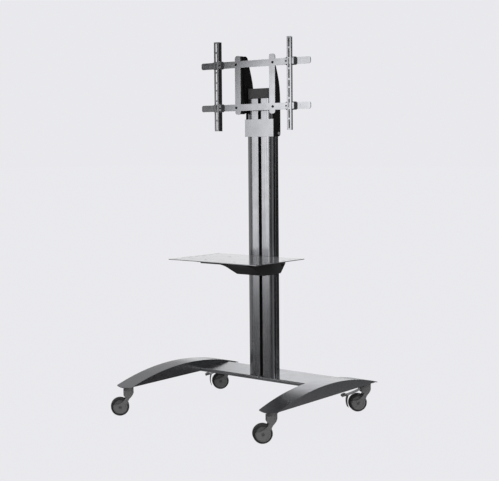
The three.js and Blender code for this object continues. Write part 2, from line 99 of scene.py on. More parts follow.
def prism(pts, w0, w1, plane="xy"):
    f = PLANES[plane]
    n = len(pts)
    verts = [f(u, v, w0) for u, v in pts] + [f(u, v, w1) for u, v in pts]
    faces = [tuple(range(n)), tuple(range(2 * n - 1, n - 1, -1))]
    faces += [(i, (i + 1) % n, n + (i + 1) % n, n + i) for i in range(n)]
    return make("prism", verts, faces)


def block(x0, x1, y0, y1, z0, z1):
    return prism([(x0, y0), (x1, y0), (x1, y1), (x0, y1)], z0, z1)


def turn(profile, n=48, axis="y", at=(0, 0, 0)):
    """Body of revolution of (radius, height along the axis) pairs."""
    verts, rings = [], []
    closed = profile[0] == profile[-1]
    pts = profile[:-1] if closed else profile
    for r, h in pts:
        if r < 1e-6:
            rings.append([len(verts)])
            verts.append((0.0, 0.0, h))
        else:
            rings.append([len(verts) + k for k in range(n)])
            verts += [(r * math.cos(2 * math.pi * k / n), r * math.sin(2 * math.pi * k / n), h) for k in range(n)]
    faces = []
    pairs = list(zip(range(len(rings) - 1), range(1, len(rings))))
    if closed:
        pairs.append((len(rings) - 1, 0))
    for a, b in pairs:
        ra, rb = rings[a], rings[b]
        for k in range(n):
            j = (k + 1) % n
            if len(ra) == 1 and len(rb) == 1:
                continue
            if len(ra) == 1:
                faces.append((ra[0], rb[j], rb[k]))
            elif len(rb) == 1:
                faces.append((ra[k], ra[j], rb[0]))
            else:
                faces.append((ra[k], ra[j], rb[j], rb[k]))
    turned = {"z": lambda v: v, "y": lambda v: (v[0], v[2], v[1]), "x": lambda v: (v[2], v[0], v[1])}[axis]
    verts = [tuple(c + d for c, d in zip(turned(v), at)) for v in verts]
    return make("turned", verts, faces)


def rod(axis, at, r, a, b, n=32):
    return turn([(0, a), (r, a), (r, b), (0, b)], n, axis, at)


def arc(cx, cy, r, a0, a1, n):
    return [(cx + r * math.cos(math.radians(a0 + (a1 - a0) * i / n)), cy + r * math.sin(math.radians(a0 + (a1 - a0) * i / n))) for i in range(n + 1)]


def rounded(x0, x1, y0, y1, r, n=8):
    return arc(x1 - r, y0 + r, r, -90, 0, n) + arc(x1 - r, y1 - r, r, 0, 90, n) + arc(x0 + r, y1 - r, r, 90, 180, n) + arc(x0 + r, y0 + r, r, 180, 270, n)


def slotted(cx, cy, w, l, n=8):
    h = (l - w) / 2
    return arc(cx, cy - h, w / 2, 180, 360, n) + arc(cx, cy + h, w / 2, 0, 180, n)


def fillet(pts, radii, n=6):
    """Rounds each corner of a closed outline; radii is one number or one per corner."""
    out = []
    k = len(pts)
    for i in range(k):
        p = Vector(pts[i])
        r = radii[i] if isinstance(radii, (list, tuple)) else radii
        a, b = Vector(pts[i - 1]) - p, Vector(pts[(i + 1) % k]) - p
        la, lb = a.length, b.length
        a.normalize()
        b.normalize()
        ang = a.angle(b)
        if r <= 0 or ang > math.pi - 0.02:
            out.append(tuple(p))
            continue
        t = r / math.tan(ang / 2)
        lim = 0.49 * min(la, lb)
        if t > lim:
            r *= lim / t
            t = lim
        c = p + (a + b).normalized() * (r / math.sin(ang / 2))
        s, e = p + a * t - c, p + b * t - c
        full = s.angle_signed(e)
        for j in range(n + 1):
            th = -full * j / n
            out.append((c.x + s.x * math.cos(th) - s.y * math.sin(th), c.y + s.x * math.sin(th) + s.y * math.cos(th)))
    return out


def bake(o):
    bpy.context.view_layer.update()
    dg = bpy.context.evaluated_depsgraph_get()
    me = bpy.data.meshes.new_from_object(o.evaluated_get(dg), depsgraph=dg)
    old = o.data
    o.modifiers.clear()
    o.data = me
    bpy.data.meshes.remove(old)
    return o


def drop(o):
    me = o.data
    bpy.data.objects.remove(o)
    bpy.data.meshes.remove(me)


def combine(a, op, tools):
    for t in tools:
        m = a.modifiers.new("b", "BOOLEAN")
        m.operation = op
        m.solver = "MANIFOLD"
        m.object = t
    bake(a)
    for t in tools:
        drop(t)
    bm = bmesh.new()
    bm.from_mesh(a.data)
    bmesh.ops.remove_doubles(bm, verts=bm.verts, dist=2e-3)
    bmesh.ops.dissolve_limit(bm, angle_limit=math.radians(0.08), verts=bm.verts, edges=bm.edges)
    bm.to_mesh(a.data)
    bm.free()
    return a


def add(a, *tools):
    return combine(a, "UNION", tools)


def cut(a, *tools):
    return combine(a, "DIFFERENCE", tools)


def meet(a, *tools):
    return combine(a, "INTERSECT", tools)


def soften(o, width, segments=2, angle=30):
    m = o.modifiers.new("edge", "BEVEL")
    m.width = width
    m.segments = segments
    m.limit_method = "ANGLE"
    m.angle_limit = math.radians(angle)
    m.use_clamp_overlap = True
    return bake(o)


def moved(o, matrix):
    o.data.transform(matrix)
    return o


def mirrored(o):
    """A copy on the other side of the middle plane."""
    me = o.data.copy()
    me.transform(Matrix.Diagonal((-1, 1, 1, 1)))
    me.flip_normals()
    c = bpy.data.objects.new("copy", me)
    scene.collection.objects.link(c)
    return c


def copied(o):
    c = bpy.data.objects.new("copy", o.data.copy())
    scene.collection.objects.link(c)
    return c


def piece(o, name, body, material, node=None, smooth=34):
    """Finishes a shape: metres, floor origin, shading, material, body and slot."""
    up = 0 if body.startswith(("swivel_", "wheel_", "brake_")) else LIFT
    o.data.transform(Matrix.Diagonal((0.001, 0.001, 0.001, 1)) @ Matrix.Translation((-OX, -OY, up)))
    o.name = name
    o.data.name = name
    bm = bmesh.new()
    bm.from_mesh(o.data)
    bmesh.ops.dissolve_degenerate(bm, dist=1e-7, edges=bm.edges)
    bmesh.ops.recalc_face_normals(bm, faces=bm.faces)
    bm.to_mesh(o.data)
    bm.free()
    me = o.data
    me.polygons.foreach_set("use_smooth", [True] * len(me.polygons))
    me.set_sharp_from_angle(angle=math.radians(smooth))
    w = o.modifiers.new("shade", "WEIGHTED_NORMAL")
    w.keep_sharp = True
    w.weight = 50
    me.materials.clear()
    me.materials.append(material)
    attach(o, body)
    if node:
        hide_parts(node)
    return o


# ------------------------------------------------------------------ materials
def surface(name, base, rough, metal, grain=0.0, grain_scale=900.0, streak=None, cloud=0.06, cloud_scale=6.0,
            rough_var=0.05, wear=0.0, wear_col=None, coat=0.0, coat_rough=0.1, dust=0.0, aniso=0.0):
    """A finish with cloudy tone and gloss variation, fine grain or drawn lines, and rubbed edges."""
    m = bpy.data.materials.new(name)
    m.use_nodes = True
    nt = m.node_tree
    n, l = nt.nodes, nt.links
    b = n["Principled BSDF"]
    b.inputs["Metallic"].default_value = metal
    b.inputs["Coat Weight"].default_value = coat
    b.inputs["Coat Roughness"].default_value = coat_rough
    if aniso:
        b.inputs["Anisotropic"].default_value = aniso
    tc = n.new("ShaderNodeTexCoord")

    def noise(scale, detail=3.0, stretch=None, seed=0.0):
        t = n.new("ShaderNodeTexNoise")
        t.inputs["Scale"].default_value = scale
        t.inputs["Detail"].default_value = detail
        mp = n.new("ShaderNodeMapping")
        mp.inputs["Location"].default_value = (seed, seed * 0.7, seed * 1.3)
        if stretch:
            mp.inputs["Scale"].default_value = stretch
        l.new(tc.outputs["Object"], mp.inputs["Vector"])
        l.new(mp.outputs["Vector"], t.inputs["Vector"])
        return t.outputs["Fac"]

    def ranged(src, lo, hi, a=0.3, c=0.7):
        r = n.new("ShaderNodeMapRange")
        r.inputs["From Min"].default_value = a
        r.inputs["From Max"].default_value = c
        r.inputs["To Min"].default_value = lo
        r.inputs["To Max"].default_value = hi
        l.new(src, r.inputs["Value"])
        return r.outputs["Result"]

    def mix(fac, a, c):
        x = n.new("ShaderNodeMix")
        x.data_type = "RGBA"
        if hasattr(fac, "is_linked") or not isinstance(fac, float):
            l.new(fac, x.inputs[0])
        else:
            x.inputs[0].default_value = fac
        for sock, val in ((x.inputs[6], a), (x.inputs[7], c)):
            if isinstance(val, (tuple, list)):
                sock.default_value = (*val[:3], 1.0)
            else:
                l.new(val, sock)
        return x.outputs[2]

    clouds = noise(cloud_scale, 4.0, seed=3.1)
    dark = tuple(c * (1 - cloud) for c in base)
    light = tuple(min(1.0, c * (1 + cloud)) for c in base)
    colour = mix(ranged(clouds, 0.0, 1.0), dark, light)
    rsrc = noise(cloud_scale * 3.7, 5.0, seed=9.4)
    rough_out = ranged(rsrc, max(0.02, rough - rough_var), rough + rough_var)
    height = None
    if streak:
        s = noise(1.0, 2.0, stretch=streak, seed=1.7)
        colour = mix(ranged(s, 0.0, 1.0, 0.35, 0.65), colour, mix(0.5, colour, light))
        add = n.new("ShaderNodeMath")
        add.operation = "ADD"
        l.new(rough_out, add.inputs[0])
        l.new(ranged(s, -0.04, 0.05, 0.35, 0.65), add.inputs[1])
        rough_out = add.outputs[0]
        height = s
    if grain:
        g = noise(grain_scale, 2.0, seed=5.5)
        height = g
        colour = mix(ranged(g, 0.0, 1.0, 0.4, 0.62), tuple(c * 0.93 for c in base), colour) if grain > 0.2 else colour
    if wear:
        bev = n.new("ShaderNodeBevel")
        bev.samples = 4
        bev.inputs["Radius"].default_value = 0.0016
        geo = n.new("ShaderNodeNewGeometry")
        dot = n.new("ShaderNodeVectorMath")
        dot.operation = "DOT_PRODUCT"
        l.new(bev.outputs["Normal"], dot.inputs[0])
        l.new(geo.outputs["Normal"], dot.inputs[1])
        edge = ranged(dot.outputs["Value"], 1.0, 0.0, 0.80, 0.985)
        patch = ranged(noise(70.0, 4.0, seed=7.7), 0.15, 1.0, 0.42, 0.62)
        mul = n.new("ShaderNodeMath")
        mul.operation = "MULTIPLY"
        l.new(edge, mul.inputs[0])
        l.new(patch, mul.inputs[1])
        mul2 = n.new("ShaderNodeMath")
        mul2.operation = "MULTIPLY"
        l.new(mul.outputs[0], mul2.inputs[0])
        mul2.inputs[1].default_value = wear
        colour = mix(mul2.outputs[0], colour, wear_col or tuple(min(1, c * 2.2 + 0.02) for c in base))
    if dust:
        d = ranged(noise(28.0, 6.0, seed=12.3), 0.0, dust, 0.5, 0.8)
        colour = mix(d, colour, (0.32, 0.31, 0.30))
    l.new(colour, b.inputs["Base Color"])
    l.new(rough_out, b.inputs["Roughness"])
    if height is not None:
        bump = n.new("ShaderNodeBump")
        bump.inputs["Strength"].default_value = 0.03 if streak and not grain else min(1.0, grain)
        bump.inputs["Distance"].default_value = 0.00012
        l.new(height, bump.inputs["Height"])
        l.new(bump.outputs["Normal"], b.inputs["Normal"])
    return m


MAT = {
    "foot": surface("foot_paint", (0.42, 0.425, 0.44), 0.22, 0.9, grain=0.04, grain_scale=1400, cloud=0.03, rough_var=0.025, wear=0.2, wear_col=(0.6, 0.6, 0.62)),
    "bar": surface("bar_paint", (0.46, 0.465, 0.48), 0.21, 0.9, grain=0.04, grain_scale=1400, cloud=0.03, rough_var=0.025, wear=0.2, wear_col=(0.6, 0.6, 0.62)),
    "column": surface("column_aluminium", (0.50, 0.505, 0.52), 0.17, 1.0, streak=(500, 500, 1.2), cloud=0.03, cloud_scale=4.0, rough_var=0.02, wear=0.2, wear_col=(0.62, 0.62, 0.64)),
    "cap": surface("cap_plastic", (0.19, 0.19, 0.193), 0.48, 0.0, grain=0.35, grain_scale=1800, wear=0.3),
    "black": surface("black_paint", (0.012, 0.012, 0.013), 0.42, 0.0, grain=0.45, grain_scale=1600, cloud=0.10, wear=0.3, wear_col=(0.05, 0.05, 0.053)),
    # the shelf bracket is the same black paint as the plates, given a lighter base colour: painted light that brightens
    # its shaded side face
    "bracket": surface("bracket_black_painted_light", (0.070, 0.070, 0.072), 0.50, 0.0, grain=0.45, grain_scale=1600, cloud=0.10, wear=0.3, wear_col=(0.08, 0.08, 0.083)),
    "silver": surface("silver_paint", (0.42, 0.424, 0.436), 0.11, 0.9, grain=0.04, grain_scale=2200, cloud=0.03, rough_var=0.02, wear=0.25, wear_col=(0.7, 0.7, 0.72)),
    "shelf": surface("shelf_paint", (0.50, 0.505, 0.52), 0.13, 0.6, grain=0.03, grain_scale=1200, cloud=0.02, rough_var=0.02, wear=0.2, wear_col=(0.75, 0.75, 0.76)),
    "fork": surface("fork_plastic", (0.30, 0.30, 0.297), 0.45, 0.0, grain=0.30, grain_scale=1500, cloud=0.08, wear=0.35, wear_col=(0.3, 0.3, 0.3), dust=0.05),
    "tyre": surface("tyre_rubber", (0.045, 0.045, 0.045), 0.62, 0.0, grain=0.5, grain_scale=1300, cloud=0.12, wear=0.35, wear_col=(0.12, 0.12, 0.12), dust=0.12),
    "hub": surface("hub_plastic", (0.22, 0.22, 0.22), 0.45, 0.0, grain=0.25, grain_scale=1700, cloud=0.08, wear=0.3, dust=0.06),
    "steel": surface("zinc_steel", (0.30, 0.30, 0.31), 0.28, 1.0, streak=(60, 700, 700), cloud=0.06, wear=0.3),
    "zinc": surface("bright_zinc", (0.66, 0.66, 0.67), 0.50, 0.25, grain=0.10, grain_scale=2200, cloud=0.06, wear=0.3),
    "axle": surface("axle_cap", (0.15, 0.15, 0.15), 0.45, 0.1, grain=0.20, grain_scale=1800, wear=0.3),
    "screw": surface("dark_screw", (0.045, 0.045, 0.048), 0.34, 0.8, grain=0.15, grain_scale=2500, wear=0.5, wear_col=(0.3, 0.3, 0.31)),
}
# the bracket's paint is flat, with hardly any sheen
for node in MAT["bracket"].node_tree.nodes:
    if node.type == "BSDF_PRINCIPLED":
        node.inputs["Specular IOR Level"].default_value = 0.10


def done(o, node, body, kind, smooth=34, name=None):
    return piece(o, name or node + ".v", body, MAT[kind], node, smooth)


def extra(o, name, body, kind, smooth=34):
    return piece(o, name, body, MAT[kind], None, smooth)


# ------------------------------------------------------------------ feet
LEG_X, LEG_W, LEG_HALF, LEG_NOSE, LEG_Z, LEG_RISE, LEG_T = 417.7, 96.0, 386.0, 12.0, 131.7, 56.3, 3.0
LEG_R = (LEG_HALF ** 2 + LEG_RISE ** 2) / (2 * LEG_RISE)
LEG_C = LEG_Z + LEG_RISE - LEG_R


def bow(y, d=0.0):
    return LEG_C + math.sqrt((LEG_R - d) ** 2 - y * y)


def span(a, b, n):
    return [a + (b - a) * i / n for i in range(n + 1)]


def foot():
    end = LEG_HALF + LEG_NOSE
    hw = LEG_W / 2
    under = math.sqrt((LEG_R - LEG_T) ** 2 - (LEG_Z - LEG_C) ** 2)
    sheet = [(y, bow(y)) for y in span(end, -end, 120)] + [(y, bow(y, LEG_T)) for y in span(-end, end, 120)]
    top = prism(sheet, -hw, hw, "yz")
    wall = [(y, bow(y, 1.5)) for y in span(under - 1.5, 1.5 - under, 110)] + [(1 - under, LEG_Z), (under - 1, LEG_Z)]
    solid = prism(wall, -hw + 1.2, hw - 1.2, "yz")
    hollow = [(y, bow(y, LEG_T)) for y in span(under - 6, 6 - under, 110)] + [(6 - under, LEG_Z - 6), (under - 6, LEG_Z - 6)]
    inner = prism(hollow, -hw + 1.2 + LEG_T, hw - 1.2 - LEG_T, "yz")
    solid = cut(solid, inner)
    nose_r = (hw * hw + LEG_NOSE ** 2) / (2 * LEG_NOSE)
    half = math.asin(hw / nose_r)

    def nose(s):
        return [(s * nose_r * math.sin(a), -s * (LEG_HALF + LEG_NOSE - nose_r + nose_r * math.cos(a))) for a in span(-half, half, 28)]

    plan = prism(nose(1) + nose(-1), LEG_Z - 40, LEG_Z + 120)
    top = meet(top, plan)
    both = add(top, solid)
    return soften(both, 0.9, 3, 40)


shape = foot()
for side, s in (("left", -1), ("right", 1)):
    done(moved(copied(shape), Matrix.Translation((s * LEG_X, 0, 0))), "leg_" + side, "base", "foot", 40)
drop(shape)

# ------------------------------------------------------------------ cross member
hx = LEG_X - LEG_W / 2 - 0.3
bar = prism(fillet([(92.3, 132.0), (92.3, 148.0), (303.2, 148.0), (303.2, 132.0), (299.2, 132.0), (299.2, 144.0), (96.3, 144.0), (96.3, 132.0)],
                   [0.6, 4.5, 4.5, 0.6, 0.6, 1.5, 1.5, 0.6], 8), -hx, hx, "yz")
ends = [block(s * (hx - 4) if s > 0 else -hx, hx if s > 0 else -hx + 4, 94, 301, 132.0, 146.0) for s in (-1, 1)]
bar = add(bar, *ends)
done(soften(bar, 0.5, 2, 40), "base_crossbar", "base", "bar")

# ------------------------------------------------------------------ column
CX, CY0, CY1, CR = 74.3, 105.3, 153.1, 6.0
BEND = 12.0  # degrees by which the front turns back at its shoulders


def half_plan(hx, y0, y1, flat, r):
    """Right half of the extrusion's outline from the flat front round to the back."""
    t = math.radians(BEND)
    big = (hx - flat - r * (1 - math.sin(t))) / math.sin(t)
    cy = y0 + big * (1 - math.cos(t)) + r * math.cos(t)
    return arc(flat, y0 + big, big, -90, -90 + BEND, 14), arc(hx - r, cy, r, -90 + BEND, 0, 12)[1:], arc(hx - r, y1 - r, r, 0, 90, 10)


def column_section():
    """Outline of the extrusion with its front slot, rear slot and side grooves."""
    shoulder, corner, back = half_plan(CX, CY0, CY1, 43.0, CR)
    half = [(SLW, CY0 + 0.8), (SLW + 0.8, CY0)] + shoulder + corner
    half += [(CX, 117.2), (CX - 0.4, 117.6), (CX - 7.0, 117.6), (CX - 7.0, 126.4), (CX - 2.6, 126.4)] + arc(CX - 2.6, 129.0, 2.6, -90, 0, 8)[1:]
    # two fine lines scored along the side
    half += [(CX, 137.0), (CX - 0.5, 137.4), (CX - 0.5, 138.2), (CX, 138.6)]
    half += back
    half += [(5.6, CY1), (5.0, CY1 - 0.6), (5.0, CY1 - 4.0), (9.0, CY1 - 4.0), (9.0, CY1 - 11.0), (0.0, CY1 - 11.0)]
    other = [(-x, y) for x, y in reversed(half[:-1])]
    front = [(-SLW, CY0 + 4.0), (-13.0, CY0 + 4.0), (-13.0, CY0 + 13.0), (13.0, CY0 + 13.0), (13.0, CY0 + 4.0), (SLW, CY0 + 4.0)]
    return half + other + front


SLW = 8.6
col = prism(column_section(), 148.3, 1449.3)
holes = []
for s in (-1, 1):
    a, b = (17, CX - 11) if s > 0 else (-CX + 11, -17)
    holes.append(block(a, b, CY0 + 5.5, CY1 - 3.2, 140, 1460))
col = cut(col, *holes)
done(soften(col, 0.35, 2, 50), "column", "base", "column", 30)
# black strip at the back of the front slot: painted shade that stands in for the dark inside of the slot
extra(soften(block(-12.6, 12.6, CY0 + 11.2, CY0 + 12.7, 149.0, 1448.6), 0.3, 2, 40), "column_slot_painted_shade", "base", "black")

shoulder, corner, back = half_plan(CX - 3.0, CY0 + 1.7, CY1 - 1.7, 41.0, CR - 1)
plan = shoulder + corner + back
cap = prism(plan + [(-x, y) for x, y in reversed(plan)], 1449.6, 1496.0)
done(soften(cap, 1.2, 4, 50), "column_top_cap", "base", "cap")

def smooth_line(pts, n=6):
    """Catmull-Rom through the points."""
    out = []
    for i in range(len(pts) - 1):
        p0, p1, p2, p3 = (Vector(pts[max(i - 1, 0)]), Vector(pts[i]), Vector(pts[i + 1]), Vector(pts[min(i + 2, len(pts) - 1)]))
        for j in range(n):
            t = j / n
            v = 0.5 * ((2 * p1) + (p2 - p0) * t + (2 * p0 - 5 * p1 + 4 * p2 - p3) * t * t + (3 * p1 - p0 - 3 * p2 + p3) * t ** 3)
            out.append(tuple(v))
    out.append(tuple(pts[-1]))
    return out


# ------------------------------------------------------------------ castors
CAST_Y, TRAIL, WR, WHW, FHW, NECK, FTOP = 360.5, 40.0, 42.0, 16.5, 23.5, 23.3, 128.8 + LIFT
TURN = Matrix.Rotation(math.radians(180 + 46.6), 4, "Z")


def fork(rear):
    left = smooth_line([(-23.3, 110.5), (-22, 103.5), (-18.5, 96), (-13.5, 89.8), (-7.5, 83.8), (-1.8, 77.5), (2, 71), (4.8, 63.5), (6.9, 55.5)], 4)
    right = smooth_line([(61, 52.5), (50, 54), (40, 58), (31, 64.5), (22, 73.5), (15, 82), (14.5, 86.5), (18, 89.8), (23.3, 92)], 4)
    side = [(-23.3, 118)] + left + arc(TRAIL, WR, 33, 168, 374, 56) + right + [(23.3, 118)]
    body = prism(side, -FHW, FHW, "xz")
    plan = [(0, -FHW), (90, -FHW), (90, FHW), (0, FHW)] + arc(0, 0, NECK, 109, 251, 28)
    body = meet(body, prism(plan, 0, 150))
    neck = turn([(0, 102), (NECK, 102), (NECK, FTOP - 2.2), (NECK - 0.7, FTOP - 0.7), (NECK - 2.2, FTOP), (0, FTOP)], 72, "z")
    body = add(body, neck)
    if rear:
        ear = fillet([(8, 94.5), (28, 94.5), (34, 97.5), (34, 103.5), (29, 107.5), (8, 107.5)], 3, 4)
        body = add(body, prism(ear, -20, -15.4, "xz"), prism(ear, 15.4, 20, "xz"))
    body = cut(body, rod("y", (TRAIL, 0, WR), WR + 3, -WHW - 1.6, WHW + 1.6, 72))
    body = cut(body, rod("z", (0, 0, 0), 6, 105, 150, 32))
    body = cut(body, rod("y", (TRAIL, 0, WR), 4.6, -30, 30, 32))
    # shallow dish round the axle on the outer faces
    for s in (-1, 1):
        a, b = (FHW - 1.1, FHW + 2) if s > 0 else (-FHW - 2, -FHW + 1.1)
        ring = turn([(9.5, a), (25, a), (25, b), (9.5, b), (9.5, a)], 60, "y", (TRAIL, 0, WR))
        # wide bevel round the lower rim of the cheek
        c, d, e = s * (FHW - 3.6), s * FHW, s * (FHW + 3)
        bevel = turn([(35, c), (33.2, c), (28.6, d), (28.6, e), (35, e), (35, c)], 96, "y", (TRAIL, 0, WR))
        bevel = meet(bevel, block(2, 80, -40, 40, 0, 58))
        body = cut(body, ring, bevel)
    if rear:
        body = cut(body, rod("y", (29, 0, 101), 2.5, -22, 22, 20), block(23.6, 40, -15.4, 15.4, 90, 121))
    return soften(body, 1.3, 3, 35)


def axle():
    e = FHW
    return turn([(0, -e - 2.4), (3.6, -e - 2.35), (5.8, -e - 1.9), (6.7, -e - 1.0), (6.8, -e - 0.3), (4.1, -e - 0.3), (4.1, e + 0.3), (6.8, e + 0.3),
                 (6.7, e + 1.0), (5.8, e + 1.9), (3.6, e + 2.35), (0, e + 2.4)], 40, "y", (TRAIL, 0, WR))


def hub():
    w = WHW
    prof = [(4.6, -w + 0.5), (8.4, -w + 0.5), (9.0, -w + 0.8), (10.6, -w + 3.0), (11.4, -w + 3.4), (24.8, -w + 3.4), (25.8, -w + 3.1), (27.4, -w + 1.4), (28.2, -w + 1.0), (30.7, -w + 1.0)]
    prof += [(r, -h) for r, h in reversed(prof)] + [prof[0]]
    h = turn(prof, 72, "y", (TRAIL, 0, WR))
    # shallow ribs between the boss and the rim, on both faces
    ribs = []
    for k in range(6):
        a = math.radians(60 * k + 15)
        for s in (-1, 1):
            r = block(9.5, 27.0, -1.6, 1.6, -1.4, 1.4)
            moved(r, Matrix.Translation((TRAIL, s * (w - 3.2), WR)) @ Matrix.Rotation(-a, 4, "Y") @ Matrix.Rotation(math.radians(90), 4, "X"))
            ribs.append(r)
    h = add(h, *ribs)
    return soften(h, 0.35, 2, 40)


def tyre():
    w = WHW
    prof = [(31.0, -w + 1.0), (31.6, -w + 0.3), (33.0, -w), (36.0, -w + 0.06), (38.5, -w + 0.35), (40.2, -w + 1.1), (41.3, -w + 2.3), (41.85, -w + 3.9), (42.0, -w + 5.6), (42.0, -0.5), (41.7, 0.0)]
    prof += [(r, -h) for r, h in reversed(prof[:-1])] + [prof[0]]
    return turn(prof, 96, "y", (TRAIL, 0, WR))


def blade():
    top = smooth_line([(36, 102.5), (44, 97.8), (54, 93.6), (64, 89.8), (74, 86.2), (84, 82.9), (94, 80), (112, 75)], 4)
    under = [(111.5, 73.1), (93.4, 78.1), (88.4, 79.5), (87.3, 79.1)]
    hook = smooth_line([(87.5, 78.6), (90, 71.5), (92.4, 60), (92.9, 50), (92.2, 41.5), (90.2, 31), (86.8, 21.5)], 5)
    inner = smooth_line([(85.1, 22.2), (88.4, 31.6), (90.3, 41.8), (91, 50), (90.5, 59.8), (88.1, 71), (85.4, 79.5)], 5)
    back = [(84.2, 80.6)] + smooth_line([(73.4, 84.2), (63.3, 87.9), (53.3, 91.7), (43, 96), (35.4, 100)], 4)
    b = prism([(29, 105.5)] + top + under + hook + inner + back + [(29, 101)], -17, 17, "xz")
    # narrow between the ears, full width behind them, with rounded corners at the far end
    plan = fillet([(20, -13), (36, -13), (40, -17), (112.2, -17), (112.2, 17), (40, 17), (36, 13), (20, 13)], [0, 1, 3, 6, 6, 3, 1, 0], 6)
    b = meet(b, prism(plan, 0, 130))
    b = add(b, rod("y", (29, 0, 101), 4.5, -14.7, 14.7, 32))
    b = add(b, rod("y", (29, 0, 101), 2.0, -19.5, 19.5, 24))
    return soften(b, 0.45, 2, 40)


def pad():
    pts = fillet([(94.5, 80.4), (112.6, 75.4), (112.9, 71.8), (116, 71.5), (117.2, 74.5), (114, 80.5), (100, 85.4), (94.5, 84.8)], [0.5, 2, 1, 1, 1.5, 5, 4, 1.2], 6)
    p = prism(pts, -17, 17, "xz")
    grooves = []
    for k in range(4):
        g = block(0, 1.5, -14.5, 14.5, 0, 6)
        moved(g, Matrix.Translation((100.5 + k * 3.3, 0, 84.2 - k * 1.15)) @ Matrix.Rotation(math.radians(19), 4, "Y"))
        grooves.append(g)
    p = cut(p, *grooves)
    return soften(p, 0.9, 3, 40)


def mount_block(sy):
    s = 1 if sy > 0 else -1
    ys = span(322, 371, 24)
    pts = [(s * y, LEG_Z) for y in ys] + [(s * y, max(bow(y, LEG_T) - 0.3, LEG_Z + 0.8)) for y in reversed(ys)]
    hw = LEG_W / 2 - LEG_T - 1.6
    b = prism(pts, -hw, hw, "yz")
    b = soften(b, 0.25, 2, 40)
    collar = turn([(0, FTOP - LIFT + 0.3), (9.8, FTOP - LIFT + 0.3), (11, FTOP - LIFT + 1.2), (11, LEG_Z + 0.3), (0, LEG_Z + 0.3)], 48, "z", (0, s * CAST_Y, 0))
    stem = turn([(0, 101), (4.5, 101), (5.5, 102), (5.5, LEG_Z + 2), (0, LEG_Z + 2)], 40, "z", (0, s * CAST_Y, 0))
    return add(b, collar, stem)


corners = [("front_left", -LEG_X, -CAST_Y), ("front_right", LEG_X, -CAST_Y), ("rear_left", -LEG_X, CAST_Y), ("rear_right", LEG_X, CAST_Y)]
forks = {False: fork(False), True: fork(True)}
axle_shape, hub_shape, tyre_shape, blade_shape, pad_shape = axle(), hub(), tyre(), blade(), pad()
for cname, sx, sy in corners:
    rear = sy > 0
    place = Matrix.Translation((sx, sy, 0)) @ TURN
    done(moved(mount_block(sy), Matrix.Translation((sx, 0, 0))), "caster_mount_" + cname, "base", "steel")
    done(moved(copied(forks[rear]), place), "caster_fork_" + cname, "swivel_" + cname, "fork", 40)
    done(moved(copied(axle_shape), place), "caster_axle_" + cname, "swivel_" + cname, "axle", 40)
    done(moved(copied(hub_shape), place), "wheel_hub_" + cname, "wheel_" + cname, "hub", 40)
    done(moved(copied(tyre_shape), place), "tyre_" + cname, "wheel_" + cname, "tyre", 40)
    if rear:
        done(moved(copied(blade_shape), place), "brake_lever_" + cname, "brake_" + cname, "steel", 40)
        done(moved(copied(pad_shape), place), "brake_pad_" + cname, "brake_" + cname, "fork", 40)
for o in (forks[False], forks[True], axle_shape, hub_shape, tyre_shape, blade_shape, pad_shape):
    drop(o)

# ------------------------------------------------------------------ shelf
SHX, SY0, SY1, SZ, ST = 257.2, -250.9, 101.0, 719.2, 3.2
plate = prism(rounded(-SHX, SHX, SY0, SY1, 4, 8), SZ - ST, SZ)
tools = []
for s in (-1, 1):
    for i in range(7):
        tools.append(prism(slotted(s * 232, -226 + i * 49, 3.8, 26, 8), SZ - 8, SZ + 4))
for x, y in ((-84, -20), (84, -20), (-84, -190), (84, -190)):
    tools.append(turn([(0, SZ - 6), (3.7, SZ - 6), (3.7, SZ - 2.9), (6.9, SZ + 0.3), (0, SZ + 0.3)], 48, "z", (x, y, 0)))
plate = cut(plate, *tools)
done(soften(plate, 0.6, 3, 40), "shelf_plate", "shelf", "shelf")

TOP = SZ - ST - 0.3
low = [(-232, 708.5), (-180, 704), (-121, 695.5), (-65, 680.5), (-16, 657), (26, 636), (100, 634.5)]


curve = smooth_line(low[:6], 8) + [low[6]]
arm = curve + [(157, 637), (169, 650), (194, 680), (194.5, 700), (140, 710), (103, TOP), (-232, TOP)]
skin = curve + [(y, z + 3) for y, z in reversed(curve)]
br = prism(arm, 75.1, 78.1, "yz")
br = add(br, prism(arm, -78.1, -75.1, "yz"))
br = add(br, prism(skin, -76, 76, "yz"))
for s in (-1, 1):
    f = [(s * 77, -232), (s * 104, -232), (s * 104, -222), (s * 96, -150), (s * 96, 92), (s * 77, 100)]
    br = add(br, prism(fillet(f, [0, 5, 5, 20, 8, 0], 4), TOP - 3, TOP))
tools = [rod("z", (x, y, 0), 3.4, TOP - 10, TOP + 10, 24) for x, y in ((-84, -20), (84, -20), (-84, -190), (84, -190))]
br = cut(br, *tools)
br = cut(br, rod("x", (0, 170, 676), 4.3, -90, 90, 28))
done(soften(br, 0.6, 2, 40), "shelf_bracket", "shelf", "bracket")

clamp = fillet([(-74.7, 155), (74.7, 155), (74.7, 180), (71.7, 180), (71.7, 158.5), (-71.7, 158.5), (-71.7, 180), (-74.7, 180)], [4.5, 4.5, 0.8, 0.8, 1.5, 1.5, 0.8, 0.8], 8)
cl = cut(prism(clamp, 662, 694), rod("x", (0, 170, 676), 4.3, -90, 90, 28))
done(soften(cl, 0.5, 2, 40), "shelf_rear_clamp", "shelf", "black")


def hex_socket(axis, at, r, a, b):
    """Six-sided key recess as a cutter."""
    return turn([(0, a), (r, a), (r, b), (0, b)], 6, axis, at)


